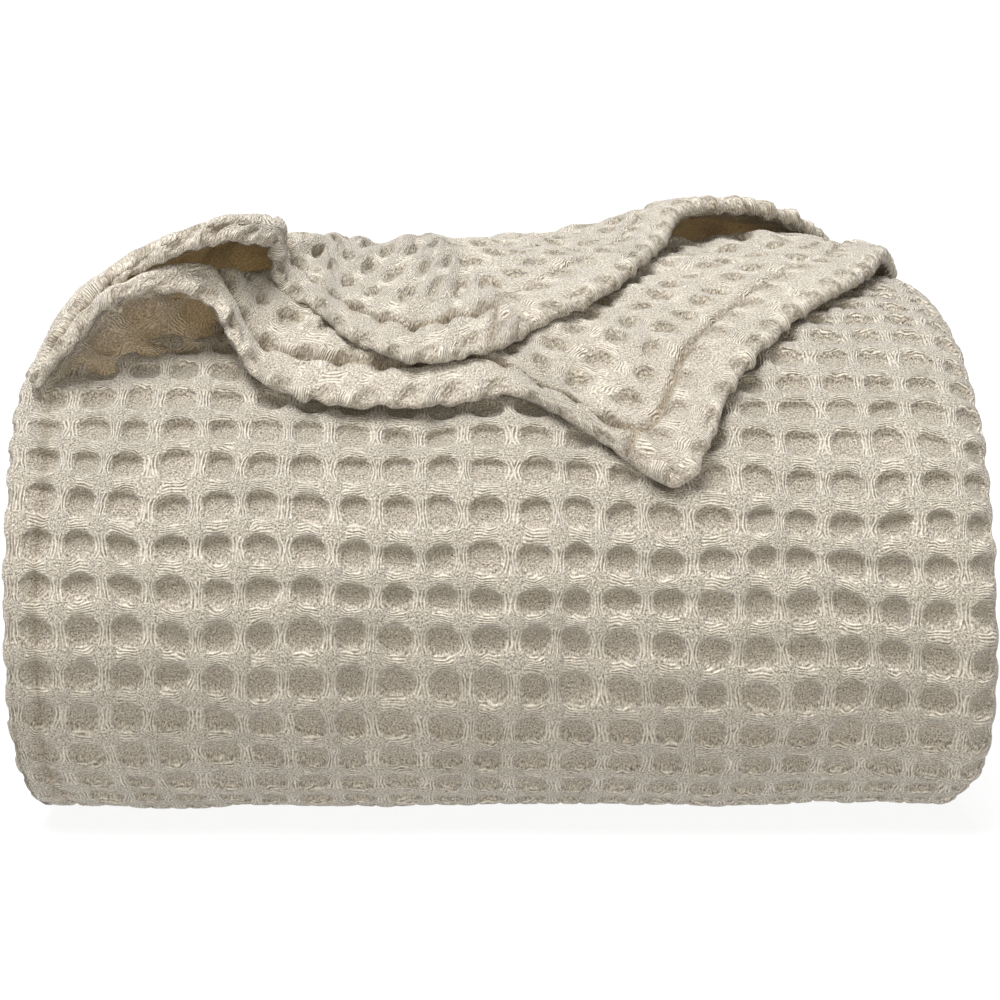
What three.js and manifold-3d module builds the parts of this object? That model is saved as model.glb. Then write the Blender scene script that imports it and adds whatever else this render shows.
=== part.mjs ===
// Waffle weave cotton blanket, folded to a shelf-sized pile with one corner of its two outer
// layers turned back over the top.
//
// The cloth is doubled to a flat strip six layers thick, and the strip goes back and forth in
// six levels. Its levels are joined by three nested bends at the front and two folds at the
// back, so the whole pile is one continuous solid. Seen from an end:
//
//      back                            front
//     ========== level 6 ===========\\       wrap A: level 6, outer front bend, level 1
//     //======== level 5 =======\\    \\      wrap B: level 5, middle front bend, level 2
//     \\======== level 4 ===\\   \\   ||      wrap C: level 4, inner front bend, level 3
//     ========== level 3 ===//   //   ||
//     //======== level 2 =======//    //
//     \\======== level 1 ===========//
//
// Frame: millimetres, +X along the width, +Y from front to back, +Z up, underside at Z = 0.

import * as THREE from 'three';
import { mergeVertices } from 'three/addons/utils/BufferGeometryUtils.js';
import Module from 'manifold-3d';

// ---- Driving dimensions ----

const WIDTH = 396;            // from the left end to the right end of the pile
const DEPTH = 378;            // from the front bulge to the back folds
const HEIGHT = 208;           // from the underside to the top of the pile
const BULGE_HEIGHT = 80;      // height of the foremost line of the front
const UNDERSIDE_START = 85;   // how far behind the foremost line the flat underside begins
const TOP_START = 190;        // how far behind the foremost line the pile is highest
const TOP_FALL = 0.001;       // how fast the top falls away behind that, per mm squared
const LOWER_ROUND = 2.1;      // roundness of the front below its foremost line, 2 is an ellipse
const UPPER_ROUND = 2.15;     // roundness of the front above it
const BEND_CENTRE = 95;       // how far back the nested front bends have their centre
const WRAPS = 3;              // strips nested in each other, each lying above and below
const GAP = 1.8;              // between one level of the strip and the next
const CORE_GAP = 2.4;         // between the innermost two levels
const END_TAPER = 0.050;      // share of the width lost at the underside and at the top
const END_DROOP = 4;          // how far the top edge sinks at the two ends
const DROOP_START = 160;      // distance from the middle at which it begins to sink
const CLOTH = 5;              // lofted thickness of one layer of waffle cloth
const PEEL_DEPTH = 2 * CLOTH; // step down to the next layer behind the turned-back corner
const PEEL_WIDTH = 80;        // how softly that step falls
const BACK_FOLD = { low: DEPTH - 34, high: DEPTH - 38 };  // where levels 1 and 5 turn back
const FREE_END = { A: DEPTH - 3, C: DEPTH - 14 };         // where the strip's two ends lie
const COTTON = { color: 0xbdb4a4, roughness: 0.95, metalness: 0 };

// The lobes of the strip's two long edges, from its outer face to its inner one. A lobe is
// a hem or a bundle of nested folds: share is its part of the strip's thickness, and depth is
// how far the groove beside it stands in.
const OUTER_HEM = { share: 0.16, depth: 3 };
const SECOND_HEM = { share: 0.16, depth: 3 };
const FOUR_LAYERS = { share: 0.68, depth: 9 };
const TWO_LAYERS = { share: 0.32, depth: 5 };
const LEFT_LOBES = [OUTER_HEM, SECOND_HEM, FOUR_LAYERS];
const RIGHT_LOBES = [FOUR_LAYERS, TWO_LAYERS];

// How far each wrap's ends stand in from the widest line, in mm.
const WRAP_ENDS = {
  A: { left: 0, right: 0 },
  B: { left: 5, right: 3 },
  C: { left: 2, right: 6 },
};

// The turned-back corner. Each layer rises from the pile along a fold line, curls back and
// over, and lies forward again with its hem on top. The fold line runs from a start at the
// left shoulder to an end at the back. Positions on the pile are x, and run, the distance
// over the surface from the foremost line, up the front and back along the top.
//
// A row is one section across the roll, from the fold line to the hem:
//   along      where the section starts, as a share of the fold line
//   bulge      how far the roll stands behind the fold line
//   crest      height of the roll
//   x, run     where the section ends at the hem
//   lift       height of the hem above the pile
const OUTER_CORNER = {
  start: { x: -190, run: 118 },
  end: { x: 192, run: 400 },
  sunk: 5,
  sections: [
    { along: 0.00, bulge: 2, crest: 4, x: -193, run: 121, lift: 3 },
    { along: 0.05, bulge: 6, crest: 17, x: -187, run: 153, lift: 18 },
    { along: 0.10, bulge: 12, crest: 28, x: -152, run: 162, lift: 27 },
    { along: 0.15, bulge: 15, crest: 30, x: -124, run: 145, lift: 21 },
    { along: 0.20, bulge: 14, crest: 27, x: -98, run: 117, lift: 7 },
    { along: 0.25, bulge: 12, crest: 18, x: -55, run: 105, lift: 5 },
    { along: 0.32, bulge: 9, crest: 11, x: 5, run: 112, lift: 5 },
    { along: 0.36, bulge: 8, crest: 9, x: 36, run: 90, lift: 5 },
    { along: 0.395, bulge: 7, crest: 8, x: 71, run: 64, lift: 5 },
    { along: 0.50, bulge: 6, crest: 8, x: 94, run: 115, lift: 5 },
    { along: 0.62, bulge: 6, crest: 8, x: 130, run: 172, lift: 5 },
    { along: 0.75, bulge: 8, crest: 12, x: 172, run: 228, lift: 7 },
    { along: 0.88, bulge: 8, crest: 18, x: 189, run: 305, lift: 9 },
    { along: 1.00, bulge: 3, crest: 8, x: 194, run: 392, lift: 4 },
  ],
};
const INNER_CORNER = {
  start: { x: -191, run: 126 },
  end: { x: 158, run: 438 },
  sunk: 8,
  sections: [
    { along: 0.00, bulge: 3, crest: 6, x: -194, run: 132, lift: 5 },
    { along: 0.05, bulge: 14, crest: 36, x: -193, run: 168, lift: 32 },
    { along: 0.10, bulge: 21, crest: 49, x: -179, run: 190, lift: 40 },
    { along: 0.15, bulge: 24, crest: 43, x: -149, run: 192, lift: 39 },
    { along: 0.21, bulge: 22, crest: 31, x: -111, run: 184, lift: 30 },
    { along: 0.28, bulge: 21, crest: 24, x: -80, run: 154, lift: 22 },
    { along: 0.36, bulge: 18, crest: 19, x: -40, run: 122, lift: 14 },
    { along: 0.456, bulge: 15, crest: 16, x: 10, run: 141, lift: 13 },
    { along: 0.55, bulge: 14, crest: 15, x: 51, run: 184, lift: 13 },
    { along: 0.65, bulge: 15, crest: 17, x: 78, run: 245, lift: 15 },
    { along: 0.75, bulge: 17, crest: 26, x: 104, run: 294, lift: 28 },
    { along: 0.85, bulge: 16, crest: 33, x: 148, run: 340, lift: 30 },
    { along: 0.95, bulge: 11, crest: 24, x: 168, run: 402, lift: 19 },
    { along: 1.00, bulge: 3, crest: 8, x: 164, run: 437, lift: 6 },
  ],
};

const ROLL_REACH = 1.2;       // how far the roll's crest stands forward of its back, in bulges
const LANDING = 0.45;         // share of the way to the hem at which the layer has come down
const LANDING_LIFT = 0.35;    // share of its height that it still has there

// Steps of the mesh.
const LOBE_STEPS = 3;
const TOP_STEPS = 11;
const UPPER_STEPS = 12;
const LOWER_STEPS = 9;
const UNDER_STEPS = 4;
const FOLD_STEPS = 7;
const MIDDLE_SCALE = 0.7;     // share of those steps that wrap B takes
const INNER_SCALE = 0.5;      // share that wrap C takes
const FACE_STEPS = 11;
const BACK_STEPS = 6;
const FACE_REACH = 0.96;      // share of the half width at which a face ends and the edge begins
const LAST_LEVEL = -0.9;      // level at which the last lobe runs into the inner face
const CORNER_LONG = 26;
const CORNER_ACROSS = 15;
const RUN_SAMPLES = 240;

// ---- Small helpers ----

const QUARTER = Math.PI / 2;
const mix = (a, b, t) => a + (b - a) * t;
const clamp01 = (t) => Math.min(1, Math.max(0, t));
const smoothstep = (t) => clamp01(t) ** 2 * (3 - 2 * clamp01(t));

// A smooth value through the rows' values, at a place between the first and the last row.
function valueAlong(rows, key, at) {
  let i = 0;
  while (i < rows.length - 2 && at > rows[i + 1].along) i += 1;
  const span = rows[i + 1].along - rows[i].along;
  const t = clamp01((at - rows[i].along) / span);
  const slope = (k) => {
    const before = rows[Math.max(k - 1, 0)];
    const after = rows[Math.min(k + 1, rows.length - 1)];
    return (after[key] - before[key]) / (after.along - before.along);
  };
  const t2 = t * t;
  const t3 = t2 * t;
  return (2 * t3 - 3 * t2 + 1) * rows[i][key] + (t3 - 2 * t2 + t) * span * slope(i)
    + (3 * t2 - 2 * t3) * rows[i + 1][key] + (t3 - t2) * span * slope(i + 1);
}

// ---- The outline of the pile, seen from an end ----

const topHeight = (y) => HEIGHT - TOP_FALL * Math.max(0, y - TOP_START) ** 2;

// A point on a quarter of the outline, at an angle from 0 to 90 degrees.
function upperFront(angle) {
  const c = Math.cos(angle) ** (2 / UPPER_ROUND);
  const s = Math.sin(angle) ** (2 / UPPER_ROUND);
  return { y: TOP_START * (1 - c), z: BULGE_HEIGHT + (HEIGHT - BULGE_HEIGHT) * s };
}
function lowerFront(angle) {
  const c = Math.cos(angle) ** (2 / LOWER_ROUND);
  const s = Math.sin(angle) ** (2 / LOWER_ROUND);
  return { y: UNDERSIDE_START * (1 - s), z: BULGE_HEIGHT * (1 - c) };
}

// The upper outline by distance along it, from the foremost line to the back.
const RUN_TABLE = [];
for (let i = 0; i <= RUN_SAMPLES; i += 1) {
  RUN_TABLE.push(upperFront(QUARTER * (i / RUN_SAMPLES)));
}
for (let i = 1; i <= RUN_SAMPLES; i += 1) {
  const y = mix(TOP_START, DEPTH, i / RUN_SAMPLES);
  RUN_TABLE.push({ y, z: topHeight(y) });
}
RUN_TABLE.forEach((p, i) => {
  const last = RUN_TABLE[i - 1];
  p.run = i === 0 ? 0 : last.run + Math.hypot(p.y - last.y, p.z - last.z);
});

// The run of the upper outline's point above a place on the ground.
function runAt(y) {
  const i = Math.max(1, RUN_TABLE.findIndex((p) => p.y >= y - 1e-6));
  const a = RUN_TABLE[i - 1];
  const b = RUN_TABLE[i];
  return mix(a.run, b.run, clamp01((y - a.y) / (b.y - a.y)));
}

// The point of the upper outline at a run, and the direction that points out of the pile.
function outlineAt(run) {
  let i = 1;
  while (i < RUN_TABLE.length - 1 && RUN_TABLE[i].run < run) i += 1;
  const a = RUN_TABLE[i - 1];
  const b = RUN_TABLE[i];
  const t = (run - a.run) / (b.run - a.run);
  const length = b.run - a.run;
  return {
    y: mix(a.y, b.y, t),
    z: mix(a.z, b.z, t),
    outY: -(b.z - a.z) / length,
    outZ: (b.y - a.y) / length,
  };
}

// The pile narrows towards its underside and its top, and its top edge sinks at the ends.
function settle(x, y, z) {
  const level = Math.abs((2 * z) / HEIGHT - 1);
  const narrow = 1 - END_TAPER * level ** 6;
  const past = Math.max(0, Math.abs(x) - DROOP_START) / (WIDTH / 2 - DROOP_START);
  const sink = END_DROOP * past ** 2 * clamp01(z / HEIGHT) ** 2;
  return new THREE.Vector3(x * narrow, y, z - sink);
}

// How deep the pile's top lies under its full height, behind the turned-back corner.
function peel(x, run) {
  const { start, end } = INNER_CORNER;
  const length = Math.hypot(end.x - start.x, end.run - start.run);
  const behind = ((run - start.run) * (end.x - start.x) - (x - start.x) * (end.run - start.run))
    / length;
  return PEEL_DEPTH * smoothstep(behind / PEEL_WIDTH);
}

// ---- The folded strip ----

// Height of the outline above a place on the ground.
function outlineHeight(y) {
  if (y >= TOP_START) return topHeight(y);
  const c = 1 - y / TOP_START;
  return BULGE_HEIGHT + (HEIGHT - BULGE_HEIGHT) * (1 - c ** UPPER_ROUND) ** (1 / UPPER_ROUND);
}

// One station of the strip, as a point of its face and one of its inner face, seen from an
// end. Rays run from the pile's core line to its outline, and a wrap lies between two shares
// of a ray. The strip's face is outermost in wraps A and C, and innermost in wrap B.
function rayStation(outline, wrap, share, faceOutermost) {
  const coreY = Math.max(outline.y, BEND_CENTRE);
  const core = { y: coreY, z: outlineHeight(coreY) / 2 };
  const length = Math.hypot(outline.y - core.y, outline.z - core.z);
  const reach = (at, offset) => {
    const distance = at * length + offset;
    return {
      y: core.y + ((outline.y - core.y) / length) * distance,
      z: core.z + ((outline.z - core.z) / length) * distance,
    };
  };
  const farShare = share + 1 / WRAPS;
  const far = reach(farShare, wrap === 'A' ? 0 : -GAP / 2);
  const near = reach(share, wrap === 'C' ? CORE_GAP / 2 : GAP / 2);
  return faceOutermost
    ? { wrap, face: far, back: near, run: outline.run }
    : { wrap, face: near, back: far };
}

// The outline's points from the back of the top, round the front, to the back underneath.
function outlineStations(topEnd, underEnd, scale) {
  const points = [];
  const top = Math.round(TOP_STEPS * scale);
  for (let i = 0; i < top; i += 1) {
    const y = mix(topEnd, TOP_START, i / top);
    points.push({ y, z: topHeight(y), run: runAt(y) });
  }
  const upper = Math.round(UPPER_STEPS * scale);
  for (let i = 0; i < upper; i += 1) {
    const point = upperFront(QUARTER * (1 - i / upper));
    points.push({ ...point, run: runAt(point.y) });
  }
  const lower = Math.round(LOWER_STEPS * scale);
  for (let i = 0; i < lower; i += 1) {
    points.push(lowerFront(QUARTER * (1 - i / lower)));
  }
  for (let i = 0; i <= UNDER_STEPS; i += 1) {
    points.push({ y: mix(UNDERSIDE_START, underEnd, i / UNDER_STEPS), z: 0 });
  }
  return points;
}

// A fold at the back, from one level round to the next. The face is on the outside of the
// lower fold, which turns up, and on the inside of the upper one, which turns down.
function foldStations(before, after, faceOutside) {
  const middle = {
    y: (before.face.y + before.back.y + after.face.y + after.back.y) / 4,
    z: (before.face.z + before.back.z + after.face.z + after.back.z) / 4,
  };
  const first = faceOutside ? -QUARTER : QUARTER;
  const stations = [];
  for (let i = 1; i < FOLD_STEPS; i += 1) {
    const t = i / FOLD_STEPS;
    const angle = mix(first, -first, t);
    const at = (key) => {
      const radius = mix(Math.abs(before[key].z - middle.z), Math.abs(after[key].z - middle.z), t);
      return { y: middle.y + radius * Math.cos(angle), z: middle.z + radius * Math.sin(angle) };
    };
    const wraps = { wrap: before.wrap, next: after.wrap, share: t };
    stations.push({ ...wraps, face: at('face'), back: at('back') });
  }
  return stations;
}

function stripStations() {
  const wrapA = outlineStations(FREE_END.A, BACK_FOLD.low, 1)
    .map((p) => rayStation(p, 'A', 2 / WRAPS, true));
  const wrapB = outlineStations(BACK_FOLD.high, BACK_FOLD.low, MIDDLE_SCALE)
    .map((p) => rayStation(p, 'B', 1 / WRAPS, false))
    .reverse();
  const wrapC = outlineStations(BACK_FOLD.high, FREE_END.C, INNER_SCALE)
    .map((p) => rayStation(p, 'C', 0, true));
  wrapC.forEach((station) => delete station.run);
  const lowFold = foldStations(wrapA.at(-1), wrapB[0], true);
  const highFold = foldStations(wrapB.at(-1), wrapC[0], false);
  return [...wrapA, ...lowFold, ...wrapB, ...highFold, ...wrapC];
}

// The strip's long edge as points: level is 1 at the outer face and -1 at the inner one,
// and inset is how far the edge stands in there. Each lobe bulges between two grooves.
function edgePoints(lobes) {
  const points = [];
  let level = 1;
  lobes.forEach((lobe, k) => {
    const first = k === 0 ? 0.5 : 0;
    for (let i = first; i < LOBE_STEPS; i += 1) {
      const t = i / LOBE_STEPS;
      points.push({ level: level - 2 * lobe.share * t, inset: lobe.depth * (2 * t - 1) ** 2 });
    }
    level -= 2 * lobe.share;
  });
  points.push({ level: LAST_LEVEL, inset: lobes.at(-1).depth * -LAST_LEVEL });
  return points;
}

// The ring of the strip at every station: across its face, down the right edge, back across
// its inner face and up the left edge.
function stripRing() {
  const ring = [];
  for (let i = 0; i < FACE_STEPS; i += 1) {
    ring.push({ side: FACE_REACH * mix(-1, 1, i / (FACE_STEPS - 1)), level: 1, inset: 0 });
  }
  edgePoints(RIGHT_LOBES).forEach((p) => ring.push({ side: 1, ...p }));
  for (let i = 0; i < BACK_STEPS; i += 1) {
    ring.push({ side: FACE_REACH * mix(1, -1, i / (BACK_STEPS - 1)), level: -1, inset: 0 });
  }
  edgePoints(LEFT_LOBES).reverse().forEach((p) => ring.push({ side: -1, ...p }));
  return ring;
}

// Where a corner of the ring lies at a station.
function ringVertex(station, corner) {
  const side = corner.side < 0 ? 'left' : 'right';
  const wrap = WRAP_ENDS[station.wrap][side];
  const nextWrap = WRAP_ENDS[station.next ?? station.wrap][side];
  const inset = mix(wrap, nextWrap, station.share ?? 0) + corner.inset;
  const x = corner.side * (WIDTH / 2 - inset);
  const height = (corner.level + 1) / 2;
  const y = mix(station.back.y, station.face.y, height);
  const z = mix(station.back.z, station.face.z, height);
  const drop = station.run === undefined ? 0 : peel(x, station.run) * height;
  return settle(x, y, z - drop);
}

// ---- Closed meshes ----

function geometryOf(vertices, faces) {
  const geometry = new THREE.BufferGeometry();
  const numbers = vertices.flatMap((v) => [v.x, v.y, v.z]);
  geometry.setAttribute('position', new THREE.Float32BufferAttribute(numbers, 3));
  geometry.setIndex(faces.flat());
  return mergeVertices(geometry, 1e-3);
}

// A closed tube of rings with a fan over each end.
function loft(rings) {
  const size = rings[0].length;
  const vertices = rings.flat();
  const faces = [];
  for (let i = 0; i + 1 < rings.length; i += 1) {
    for (let j = 0; j < size; j += 1) {
      const k = (j + 1) % size;
      const a = i * size + j;
      const b = i * size + k;
      const c = (i + 1) * size + k;
      const d = (i + 1) * size + j;
      faces.push([a, d, b], [b, d, c]);
    }
  }
  [0, rings.length - 1].forEach((i) => {
    const centre = rings[i].reduce((sum, v) => sum.add(v), new THREE.Vector3()).divideScalar(size);
    const hub = vertices.push(centre) - 1;
    for (let j = 0; j < size; j += 1) {
      const a = i * size + j;
      const b = i * size + ((j + 1) % size);
      faces.push(i === 0 ? [hub, a, b] : [hub, b, a]);
    }
  });
  return geometryOf(vertices, faces);
}

function stripGeometry() {
  const ring = stripRing();
  return loft(stripStations().map((station) => ring.map((corner) => ringVertex(station, corner))));
}

// ---- The turned-back corner ----

// One section across the roll, from inside the pile's top layer to the hem: x, run and lift.
function sectionCurve(corner, at) {
  const { start, end, sections, sunk } = corner;
  const root = { x: mix(start.x, end.x, at), run: mix(start.run, end.run, at) };
  const length = Math.hypot(end.x - start.x, end.run - start.run);
  const behind = { x: -(end.run - start.run) / length, run: (end.x - start.x) / length };
  const value = (key) => valueAlong(sections, key, at);
  const bulge = value('bulge');
  const crest = value('crest');
  const point = (share, lift) => new THREE.Vector3(
    root.x + behind.x * bulge * share,
    root.run + behind.run * bulge * share,
    lift,
  );
  const hem = new THREE.Vector3(value('x'), value('run'), value('lift'));
  const back = point(1, crest / 2);
  const forward = new THREE.Vector2(hem.x - back.x, hem.y - back.y);
  forward.setLength(Math.min(forward.length() / 2, ROLL_REACH * bulge));
  const over = new THREE.Vector3(back.x + forward.x, back.y + forward.y, crest);
  const landing = over.clone().lerp(hem, LANDING);
  landing.z = mix(hem.z, crest, LANDING_LIFT);
  return new THREE.CatmullRomCurve3([
    point(-0.2, -sunk),
    point(0.75, crest / 8),
    back,
    over,
    landing,
    hem,
  ], false, 'centripetal');
}

function onPile(place) {
  const at = outlineAt(place.y);
  return settle(place.x, at.y + at.outY * place.z, at.z + at.outZ * place.z);
}

function cornerGeometry(corner) {
  const middle = [];
  for (let i = 0; i <= CORNER_LONG; i += 1) {
    const curve = sectionCurve(corner, i / CORNER_LONG);
    middle.push(curve.getPoints(CORNER_ACROSS).map(onPile));
  }
  const vertices = [];
  [0.5, -0.5].forEach((side) => {
    middle.forEach((row, i) => row.forEach((p, j) => {
      const before = middle[Math.max(i - 1, 0)][j];
      const after = middle[Math.min(i + 1, CORNER_LONG)][j];
      const inward = row[Math.max(j - 1, 0)];
      const outward = row[Math.min(j + 1, CORNER_ACROSS)];
      const normal = after.clone().sub(before).cross(outward.clone().sub(inward)).normalize();
      vertices.push(p.clone().addScaledVector(normal, side * CLOTH));
    }));
  });
  const across = CORNER_ACROSS + 1;
  const count = (CORNER_LONG + 1) * across;
  const faces = [];
  const quad = (a, b, c, d) => faces.push([a, b, c], [a, c, d]);
  for (let i = 0; i < CORNER_LONG; i += 1) {
    for (let j = 0; j < CORNER_ACROSS; j += 1) {
      const a = i * across + j;
      quad(a, a + across, a + across + 1, a + 1);
      quad(count + a, count + a + 1, count + a + across + 1, count + a + across);
    }
    const first = i * across;
    const last = first + CORNER_ACROSS;
    quad(first, count + first, count + first + across, first + across);
    quad(last, last + across, count + last + across, count + last);
  }
  for (let j = 0; j < CORNER_ACROSS; j += 1) {
    const last = CORNER_LONG * across + j;
    quad(j, j + 1, count + j + 1, count + j);
    quad(last, count + last, count + last + 1, last + 1);
  }
  return geometryOf(vertices, faces);
}

// ---- Joining, as one solid ----

const wasm = await Module();
wasm.setup();

function toSolid(geometry) {
  return new wasm.Manifold(new wasm.Mesh({
    numProp: 3,
    vertProperties: geometry.getAttribute('position').array,
    triVerts: Uint32Array.from(geometry.getIndex().array),
  }));
}

function toGeometry(solid) {
  const mesh = solid.getMesh();
  const geometry = new THREE.BufferGeometry();
  geometry.setAttribute('position', new THREE.BufferAttribute(mesh.vertProperties, 3));
  geometry.setIndex(new THREE.BufferAttribute(mesh.triVerts, 1));
  return geometry;
}

function blanketGeometry() {
  const pile = toSolid(stripGeometry());
  const outerCorner = toSolid(cornerGeometry(OUTER_CORNER));
  const innerCorner = toSolid(cornerGeometry(INNER_CORNER));
  const geometry = toGeometry(pile.add(outerCorner).add(innerCorner));
  geometry.computeBoundingBox();
  const box = geometry.boundingBox;
  geometry.translate(-(box.min.x + box.max.x) / 2, -(box.min.y + box.max.y) / 2, -box.min.z);
  return geometry;
}

const blanket = new THREE.Mesh(blanketGeometry(), new THREE.MeshStandardMaterial(COTTON));
blanket.name = 'blanket';

const group = new THREE.Group();
group.add(blanket);

export default group;
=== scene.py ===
# %% [markdown]
# # A folded waffle weave blanket
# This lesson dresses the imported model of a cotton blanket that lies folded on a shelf. The
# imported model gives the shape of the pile. Here each layer of cloth that can be seen becomes
# a thin sheet of its own, with the deep square cells of a waffle weave, hems and stitching.
# Lengths are worked out in millimetres, and `lay_cloth` turns them into metres.

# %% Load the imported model
import bmesh
import bpy
import numpy as np
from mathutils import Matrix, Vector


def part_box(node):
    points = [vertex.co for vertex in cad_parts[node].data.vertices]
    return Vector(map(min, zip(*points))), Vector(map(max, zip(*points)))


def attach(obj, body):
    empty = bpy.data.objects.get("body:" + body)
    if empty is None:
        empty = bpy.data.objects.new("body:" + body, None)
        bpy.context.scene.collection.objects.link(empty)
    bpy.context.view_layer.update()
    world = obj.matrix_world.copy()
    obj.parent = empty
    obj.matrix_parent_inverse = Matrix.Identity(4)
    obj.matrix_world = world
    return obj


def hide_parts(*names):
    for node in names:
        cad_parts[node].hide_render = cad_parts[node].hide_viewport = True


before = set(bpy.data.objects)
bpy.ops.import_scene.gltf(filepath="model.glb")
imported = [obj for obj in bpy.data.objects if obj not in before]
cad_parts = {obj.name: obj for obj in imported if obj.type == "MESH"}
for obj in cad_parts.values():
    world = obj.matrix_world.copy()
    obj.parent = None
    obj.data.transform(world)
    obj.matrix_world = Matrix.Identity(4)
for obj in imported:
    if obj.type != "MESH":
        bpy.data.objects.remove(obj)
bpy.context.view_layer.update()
MM = 0.001
low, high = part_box("blanket")
WIDTH = (high[0] - low[0]) / MM
FRONT_Y = low[1] / MM
print(f"The pile is {WIDTH:.0f} mm wide and its front is at y = {FRONT_Y:.1f} mm")

# %% [markdown]
# ## The outline of the pile
# Seen from an end, the pile is round at the front, flat below and nearly flat on top. Two
# quarter curves, a little squarer than an ellipse, make the front. It could be drawn by hand
# as a Bezier curve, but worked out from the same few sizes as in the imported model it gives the
# same outline, so the cloth lies where the model is.

# %% The driving sizes of the pile
DEPTH = 378.0
HEIGHT = 208.0
BULGE_HEIGHT = 80.0      # height of the foremost line
UNDERSIDE_START = 85.0   # how far back the flat underside begins
TOP_START = 190.0        # how far back the pile is highest
TOP_FALL = 0.001         # how fast the top falls away behind that
LOWER_ROUND, UPPER_ROUND = 2.1, 2.15
BEND_CENTRE = 95.0       # where the nested front bends have their centre
WRAPS = 3
GAP, CORE_GAP = 1.8, 2.4
STRIP = 31.0             # thickness of the strip: six layers
LAYER = STRIP / 6
CLOTH = 4.4              # thickness of one layer from ridge to ridge
BACK_FOLD = {"low": DEPTH - 34, "high": DEPTH - 38}
FREE_END = {"A": DEPTH - 3, "C": DEPTH - 14}
WRAP_ENDS = {"A": (0, 0), "B": (5, 3), "C": (2, 6)}  # how far the left and right ends stand in
END_TAPER, END_DROOP, DROOP_START = 0.05, 4.0, 160.0
PEEL_DEPTH, PEEL_WIDTH = 10.0, 80.0


def mix(a, b, t):
    return a + (b - a) * t


def smooth(t):
    t = np.clip(t, 0, 1)
    return t * t * (3 - 2 * t)


def top_height(y):
    return HEIGHT - TOP_FALL * np.maximum(0, y - TOP_START) ** 2


# %% The outline as a table of points by distance along it
def outline_points():
    """Points from the back underneath, forward, up the front and back along the top."""
    angle = np.linspace(0, np.pi / 2, 400)
    c, s = np.cos(angle), np.sin(angle)
    under = np.linspace(DEPTH, UNDERSIDE_START, 200)[:-1]
    top = np.linspace(TOP_START, DEPTH, 200)[1:]
    lower_y = UNDERSIDE_START * (1 - s ** (2 / LOWER_ROUND))
    lower_z = BULGE_HEIGHT * (1 - np.clip(c, 0, 1) ** (2 / LOWER_ROUND))
    upper_y = TOP_START * (1 - np.clip(c, 0, 1) ** (2 / UPPER_ROUND))
    upper_z = BULGE_HEIGHT + (HEIGHT - BULGE_HEIGHT) * s ** (2 / UPPER_ROUND)
    y = np.concatenate([under, lower_y, upper_y[1:], top])
    z = np.concatenate([0 * under, lower_z, upper_z[1:], top_height(top)])
    run = np.concatenate([[0], np.cumsum(np.hypot(np.diff(y), np.diff(z)))])
    foremost = len(under) + len(lower_y) - 1
    return y, z, run - run[foremost]


OUT_Y, OUT_Z, OUT_RUN = outline_points()


def outline(run):
    """The outline's point at a run, the distance up from the foremost line."""
    return np.interp(run, OUT_RUN, OUT_Y), np.interp(run, OUT_RUN, OUT_Z)


def outward(run, step=1.0):
    """The direction that points out of the pile there."""
    y0, z0 = outline(run - step)
    y1, z1 = outline(run + step)
    length = np.hypot(y1 - y0, z1 - z0)
    return -(z1 - z0) / length, (y1 - y0) / length


def run_at(y, side):
    """The run of the outline over a place y, on the top or underneath."""
    part = OUT_RUN >= 0 if side == "top" else OUT_RUN <= 0
    order = np.argsort(OUT_Y[part])
    return float(np.interp(y, OUT_Y[part][order], OUT_RUN[part][order]))


print(f"From the foremost line to the back of the top it is {run_at(DEPTH, 'top'):.0f} mm")


# %% How the pile settles
def settle(points):
    """The pile narrows to its underside and top, and its top edge sinks at the two ends."""
    x, y, z = points[..., 0], points[..., 1], points[..., 2]
    narrow = 1 - END_TAPER * np.abs(2 * z / HEIGHT - 1) ** 6
    past = np.maximum(0, np.abs(x) - DROOP_START) / (WIDTH / 2 - DROOP_START)
    sink = END_DROOP * past**2 * np.clip(z / HEIGHT, 0, 1) ** 2
    return np.stack([x * narrow, y, z - sink], axis=-1)


# %% [markdown]
# ## The strip that is folded back and forth
# The cloth is doubled to six layers, and that strip goes round the front three times, each
# time inside the last: wraps A, B and C. Two folds at the back join them. The whole way of
# the strip is sampled once, as pairs of points on its face and on its inner face, so that any
# layer of it can be laid between them afterwards. A cloth solver could fold a flat sheet, but
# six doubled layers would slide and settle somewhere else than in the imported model.

# %% The way of the strip
def wrap_way(wrap, runs, share, face_outermost):
    """The face and inner face of one wrap. Rays run from the core line to the outline."""
    y, z = outline(runs)
    core_y = np.maximum(y, BEND_CENTRE)
    over = np.interp(core_y, OUT_Y[OUT_RUN >= 0], OUT_Z[OUT_RUN >= 0])
    core_z = over / 2
    length = np.hypot(y - core_y, z - core_z)
    ray = np.stack([(y - core_y) / length, (z - core_z) / length], axis=-1)
    core = np.stack([core_y, core_z], axis=-1)
    far_gap = 0 if wrap == "A" else GAP / 2
    near_gap = CORE_GAP / 2 if wrap == "C" else GAP / 2
    far = core + ray * ((share + 1 / WRAPS) * length - far_gap)[:, None]
    near = core + ray * (share * length + near_gap)[:, None]
    return (far, near) if face_outermost else (near, far)


def fold_way(before, after, face_outside, count=60):
    """The face and inner face of a fold at the back, on arcs about its middle."""
    middle = (before[0] + before[1] + after[0] + after[1]) / 4
    first = -np.pi / 2 if face_outside else np.pi / 2
    t = np.linspace(0, 1, count + 1)[1:-1]
    angle = mix(first, -first, t)
    sides = []
    for k in (0, 1):
        radius = mix(abs(before[k][1] - middle[1]), abs(after[k][1] - middle[1]), t)
        arc = np.stack([radius * np.cos(angle), radius * np.sin(angle)], axis=-1)
        sides.append(middle + arc)
    return sides


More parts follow.
